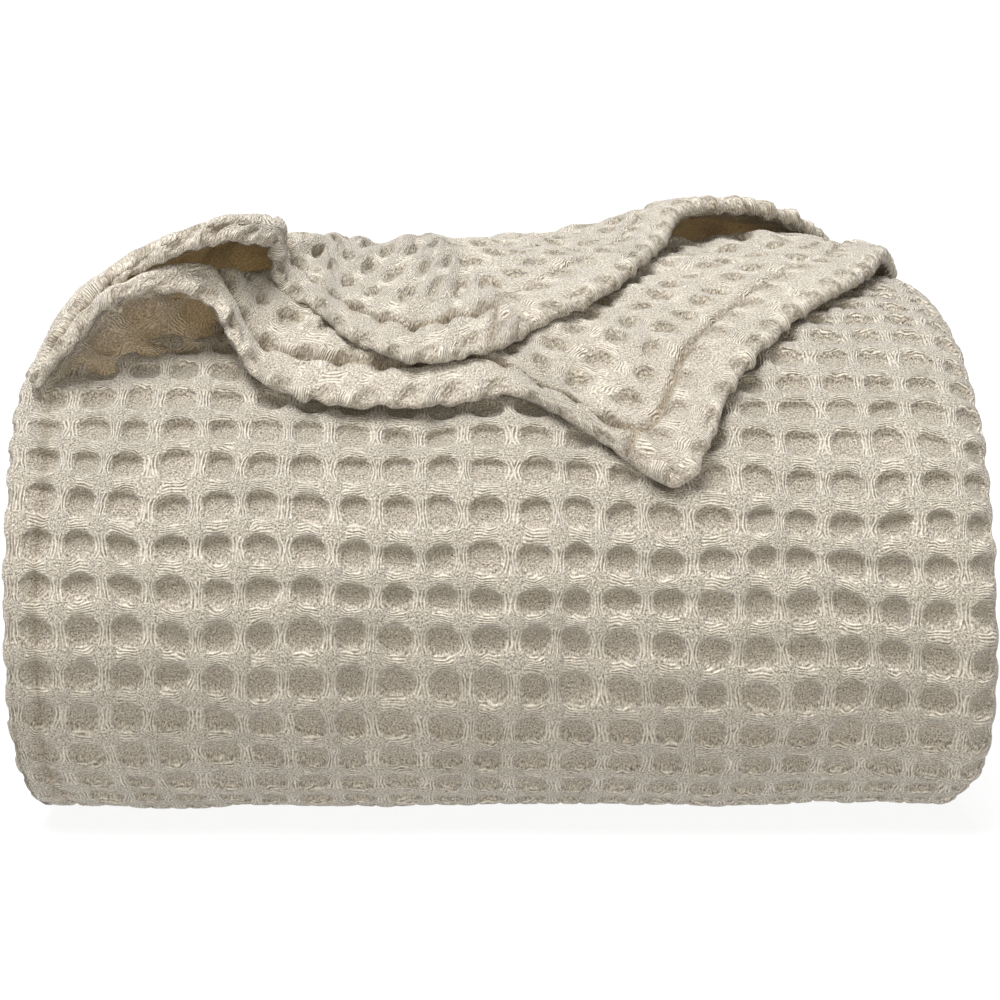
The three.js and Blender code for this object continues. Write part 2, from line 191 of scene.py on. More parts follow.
def strip_way():
    """One table for the whole strip: distance along it, face, inner face and end insets."""
    def runs(top_y, under_y):
        return np.arange(run_at(top_y, "top"), run_at(under_y, "under"), -1.0)

    runs_a = runs(FREE_END["A"], BACK_FOLD["low"])
    a = wrap_way("A", runs_a, 2 / WRAPS, True)
    b = wrap_way("B", runs(BACK_FOLD["high"], BACK_FOLD["low"])[::-1], 1 / WRAPS, False)
    c = wrap_way("C", runs(BACK_FOLD["high"], FREE_END["C"]), 0, True)
    low_fold = fold_way((a[0][-1], a[1][-1]), (b[0][0], b[1][0]), True)
    high_fold = fold_way((b[0][-1], b[1][-1]), (c[0][0], c[1][0]), False)
    parts = [a, low_fold, b, high_fold, c]
    ends = [WRAP_ENDS["A"], None, WRAP_ENDS["B"], None, WRAP_ENDS["C"]]
    face = np.concatenate([p[0] for p in parts])
    inner = np.concatenate([p[1] for p in parts])
    middle = (face + inner) / 2
    step = np.hypot(*np.diff(middle, axis=0).T)
    n = len(runs_a)
    step[: n - 1] = 1.0
    at = np.concatenate([[0], np.cumsum(step)])
    inset = []
    for k, part in enumerate(parts):
        count = len(part[0])
        if ends[k] is not None:
            inset.append(np.tile(np.array(ends[k], float), (count, 1)))
        else:
            t = np.linspace(0, 1, count)[:, None]
            inset.append(mix(np.array(ends[k - 1], float), np.array(ends[k + 1], float), t))
    sizes = np.cumsum([0] + [len(p[0]) for p in parts])
    marks = [float(at[min(i, len(at) - 1)]) for i in sizes]
    run = np.full(len(at), -1e3)
    run[:n] = runs_a
    return {"at": at, "face": face, "inner": inner, "inset": np.concatenate(inset), "run": run}, marks


WAY, MARKS = strip_way()
A_START, LOW_FOLD, B_START, HIGH_FOLD, C_START, WAY_END = MARKS
RUN_BACK = run_at(FREE_END["A"], "top")
print(f"The strip is {WAY_END:.0f} mm long and {STRIP:.0f} mm thick, in six layers of {LAYER:.1f} mm")


def way_at(key, at):
    """One column, or pair of columns, of the strip's table at some distances along it."""
    table = WAY[key]
    if table.ndim == 1:
        return np.interp(at, WAY["at"], table)
    return np.stack([np.interp(at, WAY["at"], table[:, k]) for k in range(table.shape[1])], axis=-1)


# %% [markdown]
# ## The corner that is turned back
# Two layers are turned over along a diagonal. Each one rises along its fold line, curls back
# and over, and lies forward with its hem on top. A short table gives one section in each row:
# where it starts on the fold line, how far the roll stands back, how high it is, and where
# its hem comes to lie. `x` is across the pile, `run` is up from the foremost line and `lift`
# is the height above the pile. Such a corner could be sculpted, but in a table one section can
# be moved by a few millimetres, and its neighbours follow smoothly.

# %% The two turned-back layers
COLUMNS = ("along", "bulge", "crest", "x", "run", "lift")
OUTER_CORNER = {
    "start": (-190, 118), "end": (192, 400), "sunk": 5, "tip": 0.395,
    "rows": [
        (0.000, 2, 4, -193, 121, 3),
        (0.030, 9, 18, -180, 124, 20),
        (0.060, 15, 30, -171, 136, 32),
        (0.090, 17, 33, -160, 142, 33),
        (0.120, 18, 33, -147, 146, 31),
        (0.150, 18, 30, -132, 147, 27),
        (0.180, 16, 27, -118, 138, 21),
        (0.200, 15, 24, -108, 127, 13),
        (0.220, 14, 21, -97, 117, 7),
        (0.250, 12, 17, -72, 107, 6),
        (0.290, 10, 13, -25, 106, 5),
        (0.320, 9, 11, 5, 112, 5),
        (0.360, 8, 9, 37, 91, 5),
        (0.385, 7, 8, 62, 70, 5),
        (0.405, 7, 8, 76, 70, 5),
        (0.500, 6, 8, 95, 116, 5),
        (0.620, 6, 8, 130, 172, 5),
        (0.750, 8, 12, 172, 228, 7),
        (0.880, 8, 18, 189, 305, 9),
        (1.000, 3, 8, 194, 392, 4),
    ],
}
INNER_CORNER = {
    "start": (-191, 126), "end": (158, 438), "sunk": 8, "tip": 0.456,
    "rows": [
        (0.000, 2, 5, -188, 133, 5),
        (0.050, 19, 38, -171, 150, 36),
        (0.100, 22, 49, -151, 154, 48),
        (0.150, 27, 45, -131, 160, 45),
        (0.200, 27, 39, -116, 169, 38),
        (0.235, 25, 32, -109, 171, 31),
        (0.262, 22, 29, -103, 168, 24),
        (0.285, 20, 27, -95, 164, 19),
        (0.320, 19, 24, -79, 156, 15),
        (0.350, 19, 21, -65, 138, 14),
        (0.390, 18, 18, -35, 122, 14),
        (0.430, 16, 17, -2, 132, 13),
        (0.456, 15, 16, 10, 142, 13),
        (0.550, 14, 15, 51, 184, 13),
        (0.650, 15, 17, 78, 245, 15),
        (0.750, 17, 26, 104, 294, 28),
        (0.850, 16, 33, 148, 340, 30),
        (0.950, 11, 24, 168, 402, 19),
        (1.000, 3, 8, 164, 437, 6),
    ],
}
ROLL_REACH, LANDING, LANDING_LIFT = 1.2, 0.45, 0.35


def value_along(corner, key, at):
    """A smooth value through a column. The cloth's corner is a sharp turn in its hem."""
    rows = np.array(corner["rows"], float)
    place, value = rows[:, 0], rows[:, COLUMNS.index(key)]
    sharp = key in ("x", "run")
    i = int(np.clip(np.searchsorted(place, at, side="right") - 1, 0, len(place) - 2))
    span = place[i + 1] - place[i]
    t = (at - place[i]) / span

    def slope(k, toward):
        if sharp and abs(place[k] - corner["tip"]) < 1e-9:
            other = k + toward
            return (value[other] - value[k]) / (place[other] - place[k])
        before, after = max(k - 1, 0), min(k + 1, len(place) - 1)
        return (value[after] - value[before]) / (place[after] - place[before])

    t2, t3 = t * t, t * t * t
    return ((2 * t3 - 3 * t2 + 1) * value[i] + (t3 - 2 * t2 + t) * span * slope(i, 1)
            + (3 * t2 - 2 * t3) * value[i + 1] + (t3 - t2) * span * slope(i + 1, -1))


def section_points(corner, at):
    """The six points that one section's curve goes through, as x, run and lift."""
    start, end = np.array(corner["start"], float), np.array(corner["end"], float)
    along = end - start
    behind = np.array([-along[1], along[0]]) / np.hypot(*along)
    root = mix(start, end, at)
    bulge, crest, x, run, lift = (value_along(corner, key, at) for key in COLUMNS[1:])

    def point(share, height):
        return np.array([*(root + behind * bulge * share), height])

    hem = np.array([x, run, lift])
    back = point(1, crest / 2)
    forward = hem[:2] - back[:2]
    distance = np.hypot(*forward)
    forward *= min(distance / 2, ROLL_REACH * bulge) / distance
    over = np.array([*(back[:2] + forward), crest])
    landing = mix(over, hem, LANDING)
    landing[2] = mix(hem[2], crest, LANDING_LIFT)
    return np.array([point(-0.2, -corner["sunk"]), point(0.75, crest / 8), back, over, landing, hem])


def smooth_curve(points, places):
    """A centripetal Catmull-Rom curve through points, at places from 0 to len(points) - 1."""
    ends = np.vstack([2 * points[0] - points[1], points, 2 * points[-1] - points[-2]])
    out = np.empty((len(places), 3))
    for n, place in enumerate(places):
        i = min(int(place), len(points) - 2)
        p = ends[i : i + 4]
        knots = np.concatenate([[0], np.cumsum(np.maximum(
            np.linalg.norm(np.diff(p, axis=0), axis=1), 1e-6) ** 0.5)])
        t = mix(knots[1], knots[2], place - i)
        a = [mix(p[k], p[k + 1], (t - knots[k]) / (knots[k + 1] - knots[k])) for k in range(3)]
        b = [mix(a[k], a[k + 1], (t - knots[k]) / (knots[k + 2] - knots[k])) for k in range(2)]
        out[n] = mix(b[0], b[1], (t - knots[1]) / (knots[2] - knots[1]))
    return out


def on_pile(place):
    """Points given by x, run and lift, brought onto the pile."""
    y, z = outline(place[..., 1])
    out_y, out_z = outward(place[..., 1])
    lift = place[..., 2]
    return settle(np.stack([place[..., 0], y + out_y * lift, z + out_z * lift], axis=-1))


def peel(x, run):
    """How much lower the top lies behind the turned-back corner."""
    start, end = (np.array(INNER_CORNER[key], float) for key in ("start", "end"))
    along = (end - start) / np.hypot(*(end - start))
    behind = (run - start[1]) * along[0] - (x - start[0]) * along[1]
    return np.where(run > 0, PEEL_DEPTH * smooth(behind / PEEL_WIDTH), 0)


# %% [markdown]
# ## The relief of the weave
# A waffle weave has raised ridges both ways, with a deep pit between four of them. Where two
# ridges cross there is a flat puff of plain weave, and between the crossings the yarns float
# free, side by side. The relief is one function of the place on the cloth, counted in cells
# from the left hem (`a`) and along the cloth (`b`), with a ridge at each whole number. So it
# bends with the cloth. Slow waves slide the cells a little, because no handled cloth keeps its
# rows straight. Every cell also has its own size and depth. A displacement picture could do
# the same, but it would blur or repeat, and a function of the place does neither.

# %% Slow waves
PITCH = 18.0             # from one ridge to the next
RIDGE_U = 9.0            # where the first ridge along the cloth lies
RIDGE_V = 14.0           # where one ridge across it lies
ROW_TILT = 0.029         # how much the rows run downhill to the right
HEM = 18.0               # width of the stitched hem


def waves(seed, size, count=9):
    """A smooth random function of two places, about -1 to 1, with waves about size long."""
    rng = np.random.default_rng(seed)
    turn = rng.uniform(0, 2 * np.pi, count)
    pace = 2 * np.pi / (size * rng.uniform(0.6, 1.6, count))
    start = rng.uniform(0, 2 * np.pi, count)

    def at(u, v):
        total = 0
        for k in range(count):
            total = total + np.sin(pace[k] * (u * np.cos(turn[k]) + v * np.sin(turn[k])) + start[k])
        return total / np.sqrt(count)

    return at


SLIDE_U, SLIDE_V = waves(1, 70), waves(2, 60)
JITTER_U, JITTER_V = waves(3, 24), waves(4, 24)
CRUMPLE, PUCKER = waves(5, 110), waves(6, 38)   # soft creases of two sizes
ROPE = waves(8, 11)                             # the lumps of a rolled hem
CELLS = np.random.default_rng(7).random((4, 64, 64))


def slide(u, v):
    """How far the weave has slid at a place, across and along the cloth, in mm."""
    across = 1.2 * SLIDE_U(u, v) + 0.5 * JITTER_U(u, v)
    along = 1.2 * SLIDE_V(u, v) + 0.6 * JITTER_V(u, v)
    return across, along


def per_cell(kind, i, j):
    """A random number from 0 to 1 that is the same all over one cell."""
    return CELLS[kind, i.astype(int) % 64, j.astype(int) % 64]


# %% The relief of one cell
PIT_DEPTH = 3.6
PIT_WIDE, PIT_TALL = 0.415, 0.375    # half the pit, in cells
CORNER_CUT = 1.38                    # below 1.5 or so the pit becomes an octagon
HOLLOW = 0.5                         # how far from its middle a pit is deeper still, and by how many mm
PUFF, PUFF_REACH = 0.5, 0.24         # height in mm, and how far it reaches, in cells
LYING, LYING_REACH = 0.5, (0.22, 0.19)         # the floats across the cloth stand up
STANDING, STANDING_REACH = 0.4, (0.24, 0.13)   # the floats along it lie a little lower
TUCK, TUCK_AT, TUCK_REACH = 0.8, 0.26, (0.035, 0.2)   # where the floats dive under the puffs


def waffle(a, b, pit_size=1.0, wall=0.4):
    """The height of the weave in mm, about 0 on the ridges, and how freely it hangs."""
    ridge_a, ridge_b = np.round(a), np.round(b)
    across, along = np.abs(a - ridge_a), np.abs(b - ridge_b)
    in_a, in_b = 0.5 - across, 0.5 - along
    cell_a, cell_b = np.floor(a), np.floor(b)
    size = pit_size * (0.92 + 0.15 * per_cell(0, cell_a, cell_b))
    wide, tall = in_a / PIT_WIDE, in_b / PIT_TALL
    from_centre = (wide**6 + tall**6 + ((wide + tall) / CORNER_CUT) ** 6) ** (1 / 6) / size
    pit = smooth((1.1 - from_centre) / wall)
    deep = PIT_DEPTH * (0.84 + 0.22 * per_cell(1, cell_a, cell_b))
    puff = np.exp(-((np.hypot(across, along) / PUFF_REACH) ** 4))
    lying = np.exp(-((in_a / LYING_REACH[0]) ** 6) - (along / LYING_REACH[1]) ** 4)
    standing = np.exp(-((in_b / STANDING_REACH[0]) ** 4) - (across / STANDING_REACH[1]) ** 4)
    tuck = np.exp(-(((in_a - TUCK_AT) / TUCK_REACH[0]) ** 2) - (along / TUCK_REACH[1]) ** 4)
    lift = 0.25 + 0.75 * per_cell(2, cell_a, ridge_b)
    height = -deep * pit + PUFF * puff + LYING * lift * lying - STANDING * standing - TUCK * tuck
    height -= HOLLOW * smooth((HOLLOW - from_centre) / HOLLOW)
    hang = (1 - pit) * (0.8 + 0.2 * lift * lying)
    return height, hang


def band(distance, width):
    """1 inside a hem of a width and 0 outside it."""
    return smooth((width + 1 - distance) / 2)


STITCH_PULL = 2.0        # how far the pull of a row of stitches reaches


def stitch_groove(distance, width):
    """The dent that a row of stitches pulls into the cloth."""
    return np.exp(-(((distance - width) / STITCH_PULL) ** 2))


CROWD = 0.45             # how much closer a grid's lines stand on the walls of the pits


def weave_lines(first, last, ridge, per_pitch):
    """Places from first to last for the lines of a grid, closer together on the pits' walls."""
    def place(t):
        return t + CROWD / (4 * np.pi) * np.sin(4 * np.pi * t)

    ends = (np.array([first, last]) - ridge) / PITCH
    fine = np.linspace(ends.min() - 1, ends.max() + 1, 8000)
    start, stop = np.interp(ends, place(fine), fine)
    count = max(3, int(round(abs(stop - start) * per_pitch)) + 1)
    lines = ridge + PITCH * place(np.linspace(start, stop, count))
    lines[0], lines[-1] = first, last
    return lines


print(f"A pit is about {2 * PIT_WIDE * PITCH:.0f} x {2 * PIT_TALL * PITCH:.0f} mm and {PIT_DEPTH} mm deep")

# %% [markdown]
# ## Laying a sheet
# Every layer is laid in the same way: a grid of points on its outer side, pushed in and out
# by the relief along its normals, and a coarser grid for the side that nobody sees. The two
# are joined all round, so that each sheet is closed and has its real thickness. The sheet's UV
# map counts its cells, and numbers on its points, called marks here, tell the material later
# where it paints shade along a row of stitches, where the cloth's other side shows and is
# painted lighter, and where it paints shade and a brown glow under a roll.
#
# By hand a plane could be extruded and given a Solidify modifier. But no operator sets many
# thousands of points by a function, and Solidify would give the hidden side as many faces as
# the side that is seen. So the grids are worked out as arrays.

# %% Grids into closed sheets
BODY = "root"
SLOT = "waffle_cotton"
SHEETS = []


def unit(vectors):
    return vectors / np.maximum(np.linalg.norm(vectors, axis=-1, keepdims=True), 1e-9)


def normals_of(points):
    """The normal at each point of a grid, from its neighbours."""
    return unit(np.cross(np.gradient(points, axis=0), np.gradient(points, axis=1)))


def grid_faces(index):
    """The quads of a grid of vertex numbers."""
    a, b = index[:-1, :-1], index[:-1, 1:]
    c, d = index[1:, 1:], index[1:, :-1]
    return np.stack([a, d, c, b], axis=-1).reshape(-1, 4)


def stitch(fine, coarse):
    """Triangles between a fine row of vertex numbers and a coarse one that ends where it ends."""
    faces = []
    steps = len(coarse) - 1
    marks = [round(k * (len(fine) - 1) / steps) for k in range(steps + 1)]
    for k in range(steps):
        for i in range(marks[k], marks[k + 1]):
            faces.append((fine[i], fine[i + 1], coarse[k]))
        faces.append((fine[marks[k + 1]], coarse[k + 1], coarse[k]))
    return faces


def coarse_pick(count, share):
    """Numbers of about one line in share, with the first and the last among them."""
    return np.linspace(0, count - 1, max(2, count // share)).round().astype(int)


def lay_cloth(name, outer, outer_cells, inner, inner_cells, flat, cuts=(), marks=None):
    """Joins an outer grid and a coarser inner one into a closed sheet, as a new object."""
    rows, cols = outer.shape[:2]
    fine = np.arange(rows * cols).reshape(rows, cols)
    coarse = np.arange(inner.shape[0] * inner.shape[1]).reshape(inner.shape[:2]) + rows * cols
    quads = np.vstack([grid_faces(fine), grid_faces(coarse)[:, ::-1]])
    rim = stitch(fine[0], coarse[0]) + stitch(fine[:, -1], coarse[:, -1])
    rim += stitch(fine[-1][::-1], coarse[-1][::-1]) + stitch(fine[::-1, 0], coarse[::-1, 0])
    rim = np.array(rim, dtype=np.int32)
    points = np.vstack([outer.reshape(-1, 3), inner.reshape(-1, 3)])
    points = (points + [0, FRONT_Y, 0]) * MM
    cells = np.vstack([outer_cells.reshape(-1, 2), inner_cells.reshape(-1, 2)])
    corners = np.concatenate([quads.ravel(), rim.ravel()]).astype(np.int32)
    starts = np.concatenate([np.arange(len(quads)) * 4, len(quads) * 4 + np.arange(len(rim)) * 3])
    mesh = bpy.data.meshes.new(name)
    mesh.vertices.add(len(points))
    mesh.vertices.foreach_set("co", points.astype(np.float32).ravel())
    mesh.loops.add(len(corners))
    mesh.loops.foreach_set("vertex_index", corners)
    mesh.polygons.add(len(starts))
    mesh.polygons.foreach_set("loop_start", starts.astype(np.int32))
    mesh.update(calc_edges=True)
    mesh.validate()
    layer = mesh.uv_layers.new(name="cloth")
    layer.data.foreach_set("uv", cells[corners].astype(np.float32).ravel())
    mesh.shade_smooth()
    for key, (outer_mark, inner_mark) in (marks or {}).items():
        mark = np.empty(len(points), np.float32)
        mark[: rows * cols] = outer_mark.ravel()
        mark[rows * cols :] = inner_mark
        mesh.attributes.new(key, "FLOAT", "POINT").data.foreach_set("value", mark)
    cut_points = np.concatenate([fine[row] for row in cuts]) if cuts else np.array([], int)
    ends = np.empty(len(mesh.edges) * 2, np.int32)
    mesh.edges.foreach_get("vertices", ends)
    sharp = mesh.attributes.new("sharp_edge", "BOOLEAN", "EDGE")
    sharp.data.foreach_set("value", np.isin(ends.reshape(-1, 2), cut_points).all(axis=1))
    solid = bmesh.new()
    solid.from_mesh(mesh)
    if solid.calc_volume(signed=True) < 0:  # then its faces point inward
        mesh.flip_normals()
    solid.free()
    piece = bpy.data.objects.new(name, mesh)
    bpy.context.collection.objects.link(piece)
    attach(piece, BODY)
    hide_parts("blanket")
    SHEETS.append(piece)
    triangles = len(quads) * 2 + len(rim)
    print(f"{name}: {triangles} triangles, {flat[0] * 1000:.0f} x {flat[1] * 1000:.0f} mm flat")
    return piece


# %% [markdown]
# ## The layers of the strip
# A layer is described by its profile across the strip: a line of places with `x` and the
# depth below the strip's face. The same profile is then carried along any stretch of the
# strip. Hems and folds at the two ends are profiles too: a hem is a rounded edge, and a fold
# is a profile that turns round.

# %% Profiles
HALF = WIDTH / 2
INWARD = 30.0            # how far a fold's layers are followed into the pile
HEM_ROUND = CLOTH / 2
FOLD_ROUND = {"outer": 9.0, "inner": 5.0}   # how far a fold's round reaches


def measured(*lines):
    """Joins lines of places into one, with the distance of each place along it."""
    line = np.vstack(lines)
    return line, np.concatenate([[0], np.cumsum(np.linalg.norm(np.diff(line, axis=0), axis=1))])


def turn(x_end, top, bottom, reach, count=40):
    """Half a round from depth top to depth bottom, bulging to x_end."""
    t = (1 - np.cos(np.linspace(0, np.pi, count))) / 2
    inset = reach * (1 - (1 - np.abs(2 * t - 1) ** 2.4) ** (1 / 2.4))
    return np.stack([x_end - np.sign(x_end) * inset, mix(top, bottom, t)], axis=-1)


def hem_edge(depth, count=25):
    """The rounded free edge at the left end of a layer."""
    angle = np.linspace(-np.pi / 2, np.pi / 2, count)
    x = -HALF + HEM_ROUND - HEM_ROUND * np.cos(angle)
    return np.stack([x, depth + HEM_ROUND - HEM_ROUND * np.sin(angle)], axis=-1)


def face_profile():
    """The outermost layer: hem on the left, then the face, then the fold on the right."""
    fold = turn(HALF, 0, 4 * LAYER, FOLD_ROUND["outer"])
    return measured(hem_edge(0), fold, [[HALF - INWARD, 4 * LAYER]])


def fold_profile(side, top, bottom, reach):
    """Layers that turn round at one end, side -1 or 1, followed on their outer side."""
    line = np.vstack([[[side * (HALF - INWARD), top]], turn(side * HALF, top, bottom, reach),
                      [[side * (HALF - INWARD), bottom]]])
    return measured(line if side > 0 else line[::-1])


def hem_profile(depth):
    """The stretch of a layer at its hem on the left end."""
    return measured(hem_edge(depth), [[-HALF + INWARD, depth]])


def plain_profile(depth, toward=1):
    """A layer between the folds of the two ends, followed toward +x or -x."""
    x = toward * (HALF - INWARD)
    return measured([[-x, depth], [x, depth]])


# %% Carrying a profile along the strip
SAG = 2.6                # how far free ridges hang down on the steep front
LOW_RELIEF = 0.85        # how much relief the weight of the pile leaves at its foot
END_CALM = 60.0          # stretch at the strip's ends where the rows run straight
SIDE_CALM = 20.0         # the same beside a layer's edges
EDGE_LENGTH, EDGE_STEP = 9.0, 0.8
SHEET_THICKNESS = 5.0
SEAM_DENT = 1.5          # how deep a row of stitches pulls in, beside a flat hem
HEM_RELIEF = 0.65        # how much relief a doubled hem keeps
CREASING = (0.9, 0.4)    # the height of the soft creases of two sizes


def rounded(distance):
    """How far an edge's round draws the surface in at a distance from the edge."""
    return HEM_ROUND - np.sqrt(np.maximum(0, HEM_ROUND**2 - np.maximum(0, HEM_ROUND - distance) ** 2))


def own_lengths(first, last, share):
    """Places on the way, with the length of a layer's own curve up to each of them."""
    ways = np.arange(first, last + 1, 1.0)
    face, inner = way_at("face", ways), way_at("inner", ways)
    curve = face + (inner - face) * share
    return ways, np.concatenate([[0], np.cumsum(np.hypot(*np.diff(curve, axis=0).T))])


def lay_layer(name, stretch, profile, per_pitch, gain=1.0, hem=False, coarse=6, open_end=None,
              own_share=None):
    """Lays one layer of the strip over a stretch of its way, as a closed sheet."""
    first, last = stretch
    line, length = profile
    start_u = 0.0 if hem else line[0, 0] + HALF
    across = weave_lines(start_u, start_u + length[-1], RIDGE_U, per_pitch) - start_u
    if hem:
        across = np.concatenate([np.arange(0, EDGE_LENGTH, EDGE_STEP), across[across > EDGE_LENGTH]])
    start_v = RUN_BACK - first
    own_length = last - first
    down = RUN_BACK - weave_lines(start_v, RUN_BACK - last, RIDGE_V, per_pitch)
    down_v = RUN_BACK - down
    if own_share is not None:
        ways, lengths = own_lengths(first, last, own_share)
        own_length = float(lengths[-1])
        down_v = weave_lines(start_v, start_v - lengths[-1], RIDGE_V, per_pitch)
        down = np.interp(start_v - down_v, lengths, ways)
    if open_end == "first":
        edge = np.array([0, 0.25, 0.9, 2.0, 3.4])
        down = np.concatenate([first + edge, down[down > first + 4.5]])
    if open_end == "last":
        edge = np.array([3.4, 2.0, 0.9, 0.25, 0])
        down = np.concatenate([down[down < last - 4.5], last - edge])
    if open_end:
        down_v = RUN_BACK - down
    from_edge, way = np.meshgrid(across, down)
    cloth_u = from_edge + start_u
    cloth_v = np.meshgrid(across, down_v)[1]
    slide_u, slide_v = slide(cloth_u, cloth_v)
    free = smooth(np.minimum(from_edge, length[-1] - from_edge) / SIDE_CALM)
    place = from_edge + slide_u * free
    x = np.interp(place, length, line[:, 0])
    share = np.interp(place, length, line[:, 1]) / STRIP
    calm = smooth((way - A_START) / END_CALM) * smooth((WAY_END - way) / END_CALM)
    at = np.clip(way - (slide_v - ROW_TILT * x) * calm, A_START, WAY_END)
    face, inner, inset = way_at("face", at), way_at("inner", at), way_at("inset", at)
    stand_in = np.where(x < 0, inset[..., 0], inset[..., 1])
    x = x * (1 - stand_in / HALF)
    yz = face + (inner - face) * share[..., None]
    middle = settle(np.concatenate([x[..., None], yz], axis=-1))
    middle[..., 2] -= peel(x, way_at("run", at)) * np.clip(1 - share, 0, 1)
    middle[..., 2] = np.maximum(middle[..., 2], 0)
    normal = normals_of(middle)
    onward = unit(np.gradient(middle, axis=0))
    steep = np.clip(-onward[..., 2], 0, 1) * (0.4 + 0.6 * smooth(2 * normal[..., 2]))
    cells = np.stack([(cloth_u - RIDGE_U) / PITCH, (cloth_v - RIDGE_V) / PITCH], axis=-1)
    height, hang = waffle(cells[..., 0], cells[..., 1])
    height = height * gain * mix(LOW_RELIEF, 1, smooth((middle[..., 2] - 30) / 100))
    if hem:
        height = height * mix(1, HEM_RELIEF, band(from_edge, HEM))
        height = height - SEAM_DENT * stitch_groove(from_edge, HEM)
        height *= smooth(from_edge / (2.2 * HEM_ROUND))
    height += CREASING[0] * CRUMPLE(cloth_u, cloth_v) + CREASING[1] * PUCKER(cloth_u, cloth_v)
    draw_in = 0.0
    if open_end:
        draw_in = rounded(np.abs(way - (first if open_end == "first" else last)))
        height = height * (1 - draw_in / HEM_ROUND) - draw_in
    outer = middle + normal * height[..., None] + onward * (SAG * gain * hang * steep * free)[..., None]
    outer[..., 2] = np.maximum(outer[..., 2], 0)
    pick = np.ix_(coarse_pick(len(down), coarse), coarse_pick(len(across), coarse))
    thick = (SHEET_THICKNESS - draw_in + 0 * way)[pick]
    under = middle[pick] - normal[pick] * thick[..., None]
    under[..., 2] = np.maximum(under[..., 2], 0.4)
    flat = (float(length[-1]) * MM, own_length * MM)
    cuts = [row for row, end in ((0, "first"), (-1, "last")) if end != open_end]
    # The hem's row of stitches is marked for painted shade.
    crease_shade = 0.5 * stitch_groove(from_edge, HEM) if hem else 0 * way
    return lay_cloth(name, outer, cells, under, cells[pick], flat, cuts=cuts,
                     marks={"crease_shade": (crease_shade, 0)})


def ridge_near(at):
    """The place on the strip's way of the ridge nearest to a place."""
    v = RUN_BACK - at
    return RUN_BACK - (round((v - RIDGE_V) / PITCH) * PITCH + RIDGE_V)


FRONT_TOP = ridge_near(RUN_BACK - 292.0)                       # where the front sheet ends on top
CONTACT = ridge_near(RUN_BACK - run_at(UNDERSIDE_START, "under"))   # where it leaves the floor
UNDER_END = B_START + 25
FINE, MEDIUM, PLAIN = 12, 9, 7           # grid lines to one cell
lay_layer("front_layer", (FRONT_TOP, CONTACT), face_profile(), FINE, hem=True)
lay_layer("top_layer", (A_START, FRONT_TOP), face_profile(), MEDIUM, hem=True, open_end="first")
lay_layer("under_layer", (CONTACT, UNDER_END), face_profile(), PLAIN, hem=True, own_share=0)

# %% [markdown]
# ## The ends of the pile
# At the two ends the other layers show as hems and folds, one below the other, and follow the
# strip round all three wraps. They could be painted lines on a flat end, but their gaps are
# deep and dark, so each hem and fold is a sheet. Their relief is weaker, for they are pressed.

# %% Hems and folds at the ends
SECOND_HEM_BREAK = LOW_FOLD + 40
lay_layer("second_hem_a", (A_START, SECOND_HEM_BREAK), hem_profile(LAYER), MEDIUM, gain=0.5)
lay_layer("second_hem_bc", (SECOND_HEM_BREAK, WAY_END), hem_profile(LAYER), MEDIUM, gain=0.5)
lay_layer("first_hem_bc", (UNDER_END, WAY_END), hem_profile(0), MEDIUM, gain=0.5)
left_fold = fold_profile(-1, 2 * LAYER, STRIP, FOLD_ROUND["outer"])
right_inner_fold = fold_profile(1, 4 * LAYER + 0.4, STRIP, FOLD_ROUND["inner"])
right_outer_fold = fold_profile(1, 0, 4 * LAYER, FOLD_ROUND["outer"])
lay_layer("left_folds_a", (A_START, LOW_FOLD), left_fold, MEDIUM, gain=0.8)
lay_layer("left_folds_bc", (LOW_FOLD, WAY_END), left_fold, PLAIN, gain=0.8)
lay_layer("right_folds_a", (A_START, LOW_FOLD), right_inner_fold, MEDIUM, gain=0.6)
lay_layer("right_folds_bc", (LOW_FOLD, WAY_END), right_inner_fold, PLAIN, gain=0.6)
lay_layer("right_outer_bc", (UNDER_END, WAY_END), right_outer_fold, PLAIN, gain=0.8)

# %% [markdown]
# ## The back of the pile
# At the back the lower fold is the face going round, which is there already. The upper fold
# shows the strip's inner face, so its sheet is followed the other way. Above and below it the
# strip's two free ends show the edges of their layers, and each edge stands in by a little
# more or less than the next, as cut cloth does.

# %% The upper fold and the free ends
EDGE_REACH = 34.0        # how far a free layer is followed into the pile
STAND_IN = (0.0, 2.5, 0.8, 4.0, 1.6, 3.2)
back_fold = plain_profile(STRIP, toward=-1)
lay_layer("upper_back_fold", (HIGH_FOLD - 26, C_START + 26), back_fold, MEDIUM, gain=0.8,
          own_share=1)
for k in range(1, 6):
    start = A_START + STAND_IN[k]
    lay_layer(f"free_end_a{k + 1}", (start, start + EDGE_REACH), plain_profile(k * LAYER), PLAIN,
              gain=0.5, open_end="first")
for k in range(6):
    end = WAY_END - STAND_IN[(k + 3) % 6]
    lay_layer(f"free_end_c{k + 1}", (end - EDGE_REACH, end), plain_profile(k * LAYER), PLAIN,
              gain=0.5, open_end="last")

# %% [markdown]
# ## The turned-back corner
# Each of the two layers is a grid of its own: its sections side by side, from the fold line
# to the hem. Round the hem the grid turns under and goes back a little way, so that the edge
# is a soft rope of cloth, as a double hem is. Here both sides show, so both have the relief,
# the upper one half a cell on, because a pit on one side is a puff on the other. A hem runs
# along both edges of the corner. Its stitches pull a groove into the cloth, and the wide end
# hem stands up beside its groove.

# %% The sections of a corner
CORNER_ROWS = 440
TIP_ROW = 190            # the row that ends in the tip
FULL_SECTION = 45.0      # a section shorter than this has less relief
CORNER_STEP = 1.9        # from one column to the next
HEM_STEP = 1.0           # the step beside the hem, where the stitches are
HEM_FINE = 30.0          # how far the finer step goes
SECTION_SAMPLES = 90


